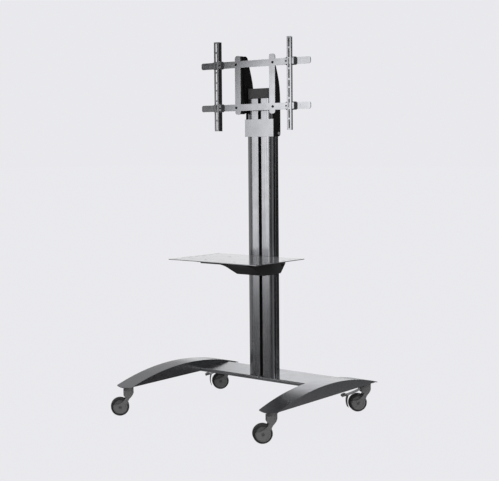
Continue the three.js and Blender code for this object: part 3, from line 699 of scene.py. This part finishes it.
bolt = turn([(0, -84), (5.6, -84), (6.9, -83.4), (7.8, -82), (7.8, -78.4), (4, -78.4), (4, 78.4), (7.8, 78.4), (7.8, 82), (6.9, 83.4), (5.6, 84), (0, 84)], 48, "x", (0, 170, 676))
bolt = cut(bolt, hex_socket("x", (0, 170, 676), 3.4, 80.5, 90), hex_socket("x", (0, 170, 676), 3.4, -90, -80.5))
done(bolt, "shelf_clamp_bolt", "shelf", "screw", 38)
for i, x, y in ((1, -84, -20), (2, 84, -20), (3, -84, -190), (4, 84, -190)):
    sc = turn([(0, TOP - 8), (2.6, TOP - 8), (3, TOP - 7.6), (3, SZ - 3.3), (3.3, SZ - 2.9), (5.9, SZ - 0.3), (5.7, SZ - 0.15), (0, SZ - 0.15)], 40, "z", (x, y, 0))
    sc = cut(sc, hex_socket("z", (x, y, 0), 2.0, SZ - 2.2, SZ + 5))
    if i < 3:
        done(sc, "shelf_screw_%d" % i, "shelf", "screw", 38)
    else:
        extra(sc, "shelf_screw_%d" % i, "shelf", "screw", 38)

# ------------------------------------------------------------------ head
PIN, PT, AIN = 76.0, 3.3, 79.9
PY, PZ = 97.0, 1508.4
RAIL_HX, RAIL_H, RY0, RY1 = 317.8, 30.5, 66.5, 70.9
RAILS = (("lower", 1408.8), ("upper", 1607.9))
BX = 107.0


def sides(o):
    """The shape for the right, and its mirror image for the left."""
    return (("right", o), ("left", mirrored(o)))


outline = [(104.5, 1274), (148, 1274), (155, 1276.5), (159.4, 1282), (160.5, 1289), (160.5, 1437), (159, 1470), (156, 1500), (151.5, 1525),
           (145, 1549), (137, 1574), (128, 1599), (120, 1627), (115, 1638), (107, 1644.5), (97, 1646), (89, 1644), (85, 1637),
           (84.5, 1560), (86, 1530), (91, 1490), (99, 1452), (104.5, 1424)]
radii = [1.5, 6, 6, 6, 5, 60, 60, 60, 60, 60, 60, 60, 12, 8, 8, 8, 6, 6, 60, 40, 60, 60, 20]
pl = prism(fillet(outline, radii, 6), PIN, PIN + PT, "yz")
pl = cut(pl, rod("x", (0, PY, PZ), 5.4, 60, 100, 36), rod("x", (0, 146, 1287.6), 4.5, 60, 100, 32))
pl = soften(pl, 0.7, 3, 40)
for side, o in sides(pl):
    done(o, "carriage_side_plate_" + side, "carriage", "black")

gd = prism(rounded(113.5, 148, 1283, 1347, 4, 8), CX + 0.3, PIN - 0.3, "yz")
gd = soften(gd, 0.3, 2, 40)
for side, o in sides(gd):
    done(o, "carriage_guide_" + side, "carriage", "cap")

b1 = PIN + PT
sc = turn([(0, 76.4), (4, 76.4), (4, b1 + 0.3), (7, b1 + 0.3), (7, b1 + 3.2), (6.2, b1 + 4.2), (5.0, b1 + 4.6), (0, b1 + 4.6)], 44, "x", (0, 146, 1287.6))
sc = cut(sc, hex_socket("x", (0, 146, 1287.6), 3.0, b1 + 2.2, b1 + 9))
for side, o in sides(sc):
    done(o, "carriage_clamp_screw_" + side, "carriage", "zinc", 38)

# tilt arm: angle section with a bent edge, stepped and rounded behind
aout = AIN + PT
sec = fillet([(AIN, 75.6), (113, 75.6), (113, 78.6), (aout, 78.6), (aout, 120), (AIN, 120)], [4.2, 0.6, 0.6, 1.5, 0, 0], 8)
ta = prism(sec, 1378.5, 1646)
shape2 = fillet([(70, 1378.5), (94, 1378.5), (104, 1383), (110, 1393), (113, 1440), (114, 1508), (112, 1570), (107, 1612), (100, 1636), (92, 1645), (70, 1646)],
                [0, 8, 8, 10, 60, 80, 80, 60, 12, 8, 0], 6)
ta = meet(ta, prism(shape2, 60, 130, "yz"))
front = rounded(AIN - 6, 113, 1378.5, 1646, 9, 8)
ta = meet(ta, prism(front, 60, 130, "xz"))
ta = cut(ta, rod("x", (0, PY, PZ), 5.4, 60, 100, 36), rod("y", (BX, 0, RAILS[0][1]), 4.3, 60, 95, 24), rod("y", (BX, 0, RAILS[1][1]), 4.3, 60, 95, 24))
ta = soften(ta, 0.5, 2, 40)
for side, o in sides(ta):
    done(o, "tilt_arm_" + side, "tilt_frame", "black")

pb = turn([(0, 75), (5, 75), (5, aout + 0.5), (8.5, aout + 0.5), (8.5, aout + 4.0), (7.6, aout + 5.0), (6.2, aout + 5.5), (0, aout + 5.5)], 44, "x", (0, PY, PZ))
nut = turn([(0, PIN - 7), (7.2, PIN - 7), (8, PIN - 6.2), (8, PIN - 0.5), (0, PIN - 0.5)], 6, "x", (0, PY, PZ))
pb = add(pb, nut)
pb = cut(pb, hex_socket("x", (0, PY, PZ), 3.6, aout + 2.4, aout + 9))
for side, o in sides(pb):
    done(o, "tilt_pivot_bolt_" + side, "carriage", "screw", 38)

up = prism(rounded(83.5, 116.9, 1377, 1647.6, 13, 14), RY1 + 0.3, 75.3, "xz")
up = cut(up, rod("y", (BX, 0, RAILS[0][1]), 4.3, 60, 95, 24), rod("y", (BX, 0, RAILS[1][1]), 4.3, 60, 95, 24))
up = soften(up, 0.7, 3, 40)
for side, o in sides(up):
    done(o, "upright_" + side, "tilt_frame", "silver")

cover = fillet([(-84, 104.2), (-84, 101.3), (84, 101.3), (84, 104.2)], [0.3, 2.4, 2.4, 0.3], 6)
cv = prism(cover, 1273.5, 1354)
done(soften(cv, 0.6, 3, 40), "carriage_front_cover", "carriage", "silver")

for level, z in RAILS:
    r = prism(rounded(-RAIL_HX, RAIL_HX, z - RAIL_H / 2, z + RAIL_H / 2, 9, 12), RY0, RY1, "xz")
    tools = [rod("y", (s * BX, 0, z), 4.3, 60, 95, 28) for s in (-1, 1)]
    # shallow pressed slot near each end
    tools += [prism([(u, v) for u, v in [(q, p + z - z) for p, q in slotted(z, s * 283, 12, 46, 10)]], RY0 - 2, RY0 + 0.5, "xz") for s in (-1, 1)]
    r = cut(r, *tools)
    done(soften(r, 0.6, 3, 40), "rail_" + level, "tilt_frame", "silver")
    rb = turn([(0, 63.2), (3.4, 63.2), (4.9, 63.6), (5.6, 64.4), (5.6, RY0 - 0.3), (3.9, RY0 - 0.3), (3.9, 78.9), (5.0, 78.9), (5.0, 83.5), (0, 83.5)], 40, "y", (BX, 0, z))
    nut = turn([(0, 78.9), (6.5, 78.9), (6.5, 82.9), (5.9, 83.5), (0, 83.5)], 6, "y", (BX, 0, z))
    rb = add(rb, nut)
    rb = cut(rb, hex_socket("y", (BX, 0, z), 2.7, 60, 65.2))
    for side, o in sides(rb):
        done(o, "rail_bolt_%s_%s" % (level, side), "tilt_frame", "screw", 38)

# screen adapters
AX, AHW, AT, AY0, AY1, AZ, AHALF = 212.3, 13.0, 2.5, 49.5, 77.5, 1508.9, 207.5
ix, ox = AX - AHW, AX + AHW
sec = fillet([(ix, AY0), (ox, AY0), (ox, AY0 + AT), (ix + AT, AY0 + AT), (ix + AT, AY1 - 2.4), (ix + 12.5, AY1 - 2.4), (ix + 12.5, AY1), (ix, AY1)],
             [3.2, 0.7, 0.7, 0.8, 0.8, 0.7, 0.7, 3.2], 8)
ad = prism(sec, AZ - AHALF, AZ + AHALF)
tools = []
bridges = [18, 66, 112, 158]
spans = [(-bridges[0] + 2.5, bridges[0] - 2.5)]
for i, b in enumerate(bridges):
    nxt = bridges[i + 1] - 2.5 if i + 1 < len(bridges) else 202
    spans += [(b + 2.5, nxt), (-nxt, -b - 2.5)]
for a, b in spans:
    tools.append(prism(slotted(AX, AZ + (a + b) / 2, 7.5, b - a, 8), AY0 - 2, AY0 + 4, "xz"))
for level, z in RAILS:
    tools.append(block(ix - 3, ix + AT + 3, AY0 + AT, 75, z - 18.7, z + 18.7))
ad = cut(ad, *tools)
ad = soften(ad, 0.5, 2, 40)
for side, o in sides(ad):
    done(o, "screen_adapter_" + side, "adapter_" + side, "silver")

for level, z in RAILS:
    y0, h = AY0 + AT + 0.3, RAIL_H / 2 + 0.4
    hook = [(y0, -15), (59, -15), (61, -h - 2.6), (RY1 + 3.7, -h - 2.6), (RY1 + 3.7, -8), (RY1 + 0.4, -8), (RY1 + 0.4, -h), (RY0 - 0.3, -h),
            (RY0 - 0.3, h), (RY1 + 0.4, h), (RY1 + 0.4, 7), (RY1 + 3.7, 7), (RY1 + 3.7, h + 2.6), (61, h + 2.6), (59, 15), (y0, 15)]
    hk = prism(fillet([(y, z + d) for y, d in hook], [1.5, 2, 1.5, 2, 0.8, 0.8, 0, 0, 0, 0, 0.8, 0.8, 2, 1.5, 2, 1.5], 4), AX - 24.7, AX + 24.7, "yz")
    hk = soften(hk, 0.7, 3, 40)
    for side, o in sides(hk):
        done(o, "rail_clamp_%s_%s" % (level, side), "adapter_" + side, "silver")
    # lock screw let into the hook's face on its inner part
    lk = turn([(0, y0 - 1.9), (2.6, y0 - 1.9), (3.6, y0 - 1.4), (3.9, y0 - 0.5), (3.9, y0 + 1.0), (0, y0 + 1.0)], 32, "y", (AX - 19.2, 0, z))
    lk = cut(lk, hex_socket("y", (AX - 19.2, 0, z), 1.9, y0 - 4, y0 - 0.8))
    for side, o in sides(lk):
        extra(o, "lock_screw_%s_%s" % (level, side), "adapter_" + side, "screw", 38)


# ------------------------------------------------------------------ floor and light
PALE = (0.815, 0.815, 0.845, 1)


def floor_and_light():
    me = bpy.data.meshes.new("floor")
    s = 60.0
    me.from_pydata([(-s, -s, 0), (s, -s, 0), (s, s, 0), (-s, s, 0)], [], [(0, 1, 2, 3)])
    fl = bpy.data.objects.new("floor", me)
    fl.location.z = -0.0005
    scene.collection.objects.link(fl)
    m = bpy.data.materials.new("pale_floor")
    m.use_nodes = True
    b = m.node_tree.nodes["Principled BSDF"]
    b.inputs["Base Color"].default_value = (0.03, 0.03, 0.03, 1)
    b.inputs["Roughness"].default_value = 0.9
    b.inputs["Specular IOR Level"].default_value = 0.0
    b.inputs["Emission Color"].default_value = PALE
    b.inputs["Emission Strength"].default_value = 0.99
    me.materials.append(m)
    fl.visible_glossy = False
    fl.visible_diffuse = False

    w = bpy.data.worlds.new("studio")
    scene.world = w
    w.use_nodes = True
    n, l = w.node_tree.nodes, w.node_tree.links
    n.clear()
    out = n.new("ShaderNodeOutputWorld")
    tc = n.new("ShaderNodeTexCoord")
    sep = n.new("ShaderNodeSeparateXYZ")
    l.new(tc.outputs["Generated"], sep.inputs[0])

    def calc(op, *args):
        x = n.new("ShaderNodeMath")
        x.operation = op
        for sock, v in zip(x.inputs, args):
            if isinstance(v, (int, float)):
                sock.default_value = v
            else:
                l.new(v, sock)
        return x.outputs[0]

    def ease(v, a, c, lo=0.0, hi=1.0):
        """Smooth step of v from a to c."""
        r = n.new("ShaderNodeMapRange")
        r.interpolation_type = "SMOOTHSTEP"
        r.inputs["From Min"].default_value = min(a, c)
        r.inputs["From Max"].default_value = max(a, c)
        r.inputs["To Min"].default_value = lo if a < c else hi
        r.inputs["To Max"].default_value = hi if a < c else lo
        l.new(v, r.inputs["Value"])
        return r.outputs["Result"]

    # azimuth from the stand's front towards +X, and height above the horizon, in degrees
    azim = calc("MULTIPLY", calc("ARCTAN2", sep.outputs["X"], calc("MULTIPLY", sep.outputs["Y"], -1.0)), 180 / math.pi)
    elev = calc("MULTIPLY", calc("ARCSINE", calc("MINIMUM", calc("MAXIMUM", sep.outputs["Z"], -1.0), 1.0)), 180 / math.pi)

    def panel(centre, half, soft, low, high, soft_low, soft_high, level, lean=0.0):
        """A soft light panel: azimuth centre and half width, lower and upper edge."""
        a = azim if not lean else calc("ADD", azim, calc("MULTIPLY", elev, lean))
        off = calc("ABSOLUTE", calc("WRAP", calc("SUBTRACT", a, centre), 180.0, -180.0))
        side = ease(off, half + soft, half - soft)
        up = calc("MULTIPLY", ease(elev, low - soft_low, low + soft_low), ease(elev, high + soft_high, high - soft_high))
        return calc("MULTIPLY", calc("MULTIPLY", side, up), level)

    # room: dark floor, grey walls, pale ceiling
    total = calc("ADD", ease(elev, -6, 4, 0.10, 0.16), ease(elev, 38, 75, 0.0, 0.40))
    total = calc("SUBTRACT", total, ease(elev, 24, 33, 0.0, 0.06))
    total = calc("ADD", total, ease(elev, -32, -20, 0.16, 0.0))
    for args in PANELS:
        total = calc("ADD", total, panel(*args))
    # dark cloths: to the right behind the stand, and in front of its left side
    for args in CLOTHS:
        total = calc("MULTIPLY", total, calc("SUBTRACT", 1.0, panel(*args)))
    light = n.new("ShaderNodeBackground")
    tint = n.new("ShaderNodeCombineColor")
    l.new(total, tint.inputs[0])
    l.new(total, tint.inputs[1])
    l.new(calc("MULTIPLY", total, 1.02), tint.inputs[2])
    l.new(tint.outputs[0], light.inputs["Color"])
    plain = n.new("ShaderNodeBackground")
    plain.inputs["Color"].default_value = PALE
    lp = n.new("ShaderNodeLightPath")
    mixs = n.new("ShaderNodeMixShader")
    l.new(lp.outputs["Is Camera Ray"], mixs.inputs[0])
    l.new(light.outputs[0], mixs.inputs[1])
    l.new(plain.outputs[0], mixs.inputs[2])
    l.new(mixs.outputs[0], out.inputs["Surface"])


# centre, half width, softness, lower edge, upper edge, their softness, level, lean
PANELS = [
    (-34.8, 4.6, 1.6, -5.8, 3.4, 2.2, 1.0, 1.50, -0.25),
    (-33.9, 4.7, 0.7, 3.4, 6.2, 1.0, 0.9, 1.60),
    (-34.3, 5.0, 1.2, 1.7, 3.2, 0.5, 0.6, 0.52),
    (-146.0, 27.0, 8.0, -2.0, 8.0, 2.0, 2.0, 0.85),
    (-157.0, 17.5, 3.0, 8.0, 25.6, 2.0, 2.6, 0.85),
    (-119.5, 18.0, 2.5, 8.0, 46.0, 3.0, 8.0, 0.25),
    (-62.0, 10.0, 6.0, -12.0, 12.0, 5.0, 8.0, 0.22),
    (38.0, 20.0, 8.0, 11.0, 60.0, 5.0, 10.0, 1.00),
    (-2.0, 16.0, 3.0, -14.0, 10.0, 3.0, 3.0, 0.16),
    (90.0, 14.0, 8.0, 5.0, 45.0, 5.0, 10.0, 1.50),
    (-90.0, 12.0, 8.0, 5.0, 45.0, 5.0, 10.0, 0.50),
    (180.0, 10.0, 6.0, 5.0, 40.0, 4.0, 8.0, 0.50),
    (166.0, 24.5, 1.5, -40.0, -12.0, 5.0, 0.8, 0.18),
]
CLOTHS = [
    (141.0, 26.0, 8.0, -11.6, 26.0, 0.5, 6.0, 0.91),
    (120.5, 21.3, 0.8, -24.0, -10.2, 3.0, 0.8, 0.92),
    (-20.0, 8.0, 2.5, -16.0, 20.0, 4.0, 6.0, 0.60),
    (-139.5, 8.5, 1.8, 28.4, 60.0, 1.6, 8.0, 0.93),
    (-46.0, 7.6, 0.6, 3.5, 9.0, 0.8, 2.0, 0.42),
    (-46.0, 5.8, 0.6, 1.2, 3.4, 0.4, 0.6, 0.22),
    (-46.0, 9.8, 0.6, 5.15, 14.0, 0.35, 3.0, 0.92),
    (-84.0, 46.0, 12.0, -100.0, -22.0, 4.0, 5.0, 0.92),
]


floor_and_light()
scene.view_settings.view_transform = "Standard"
scene.view_settings.look = "None"
scene.view_settings.exposure = 0.0
scene.view_settings.gamma = 1.0
scene.cycles.use_denoising = True

bpy.context.view_layer.update()
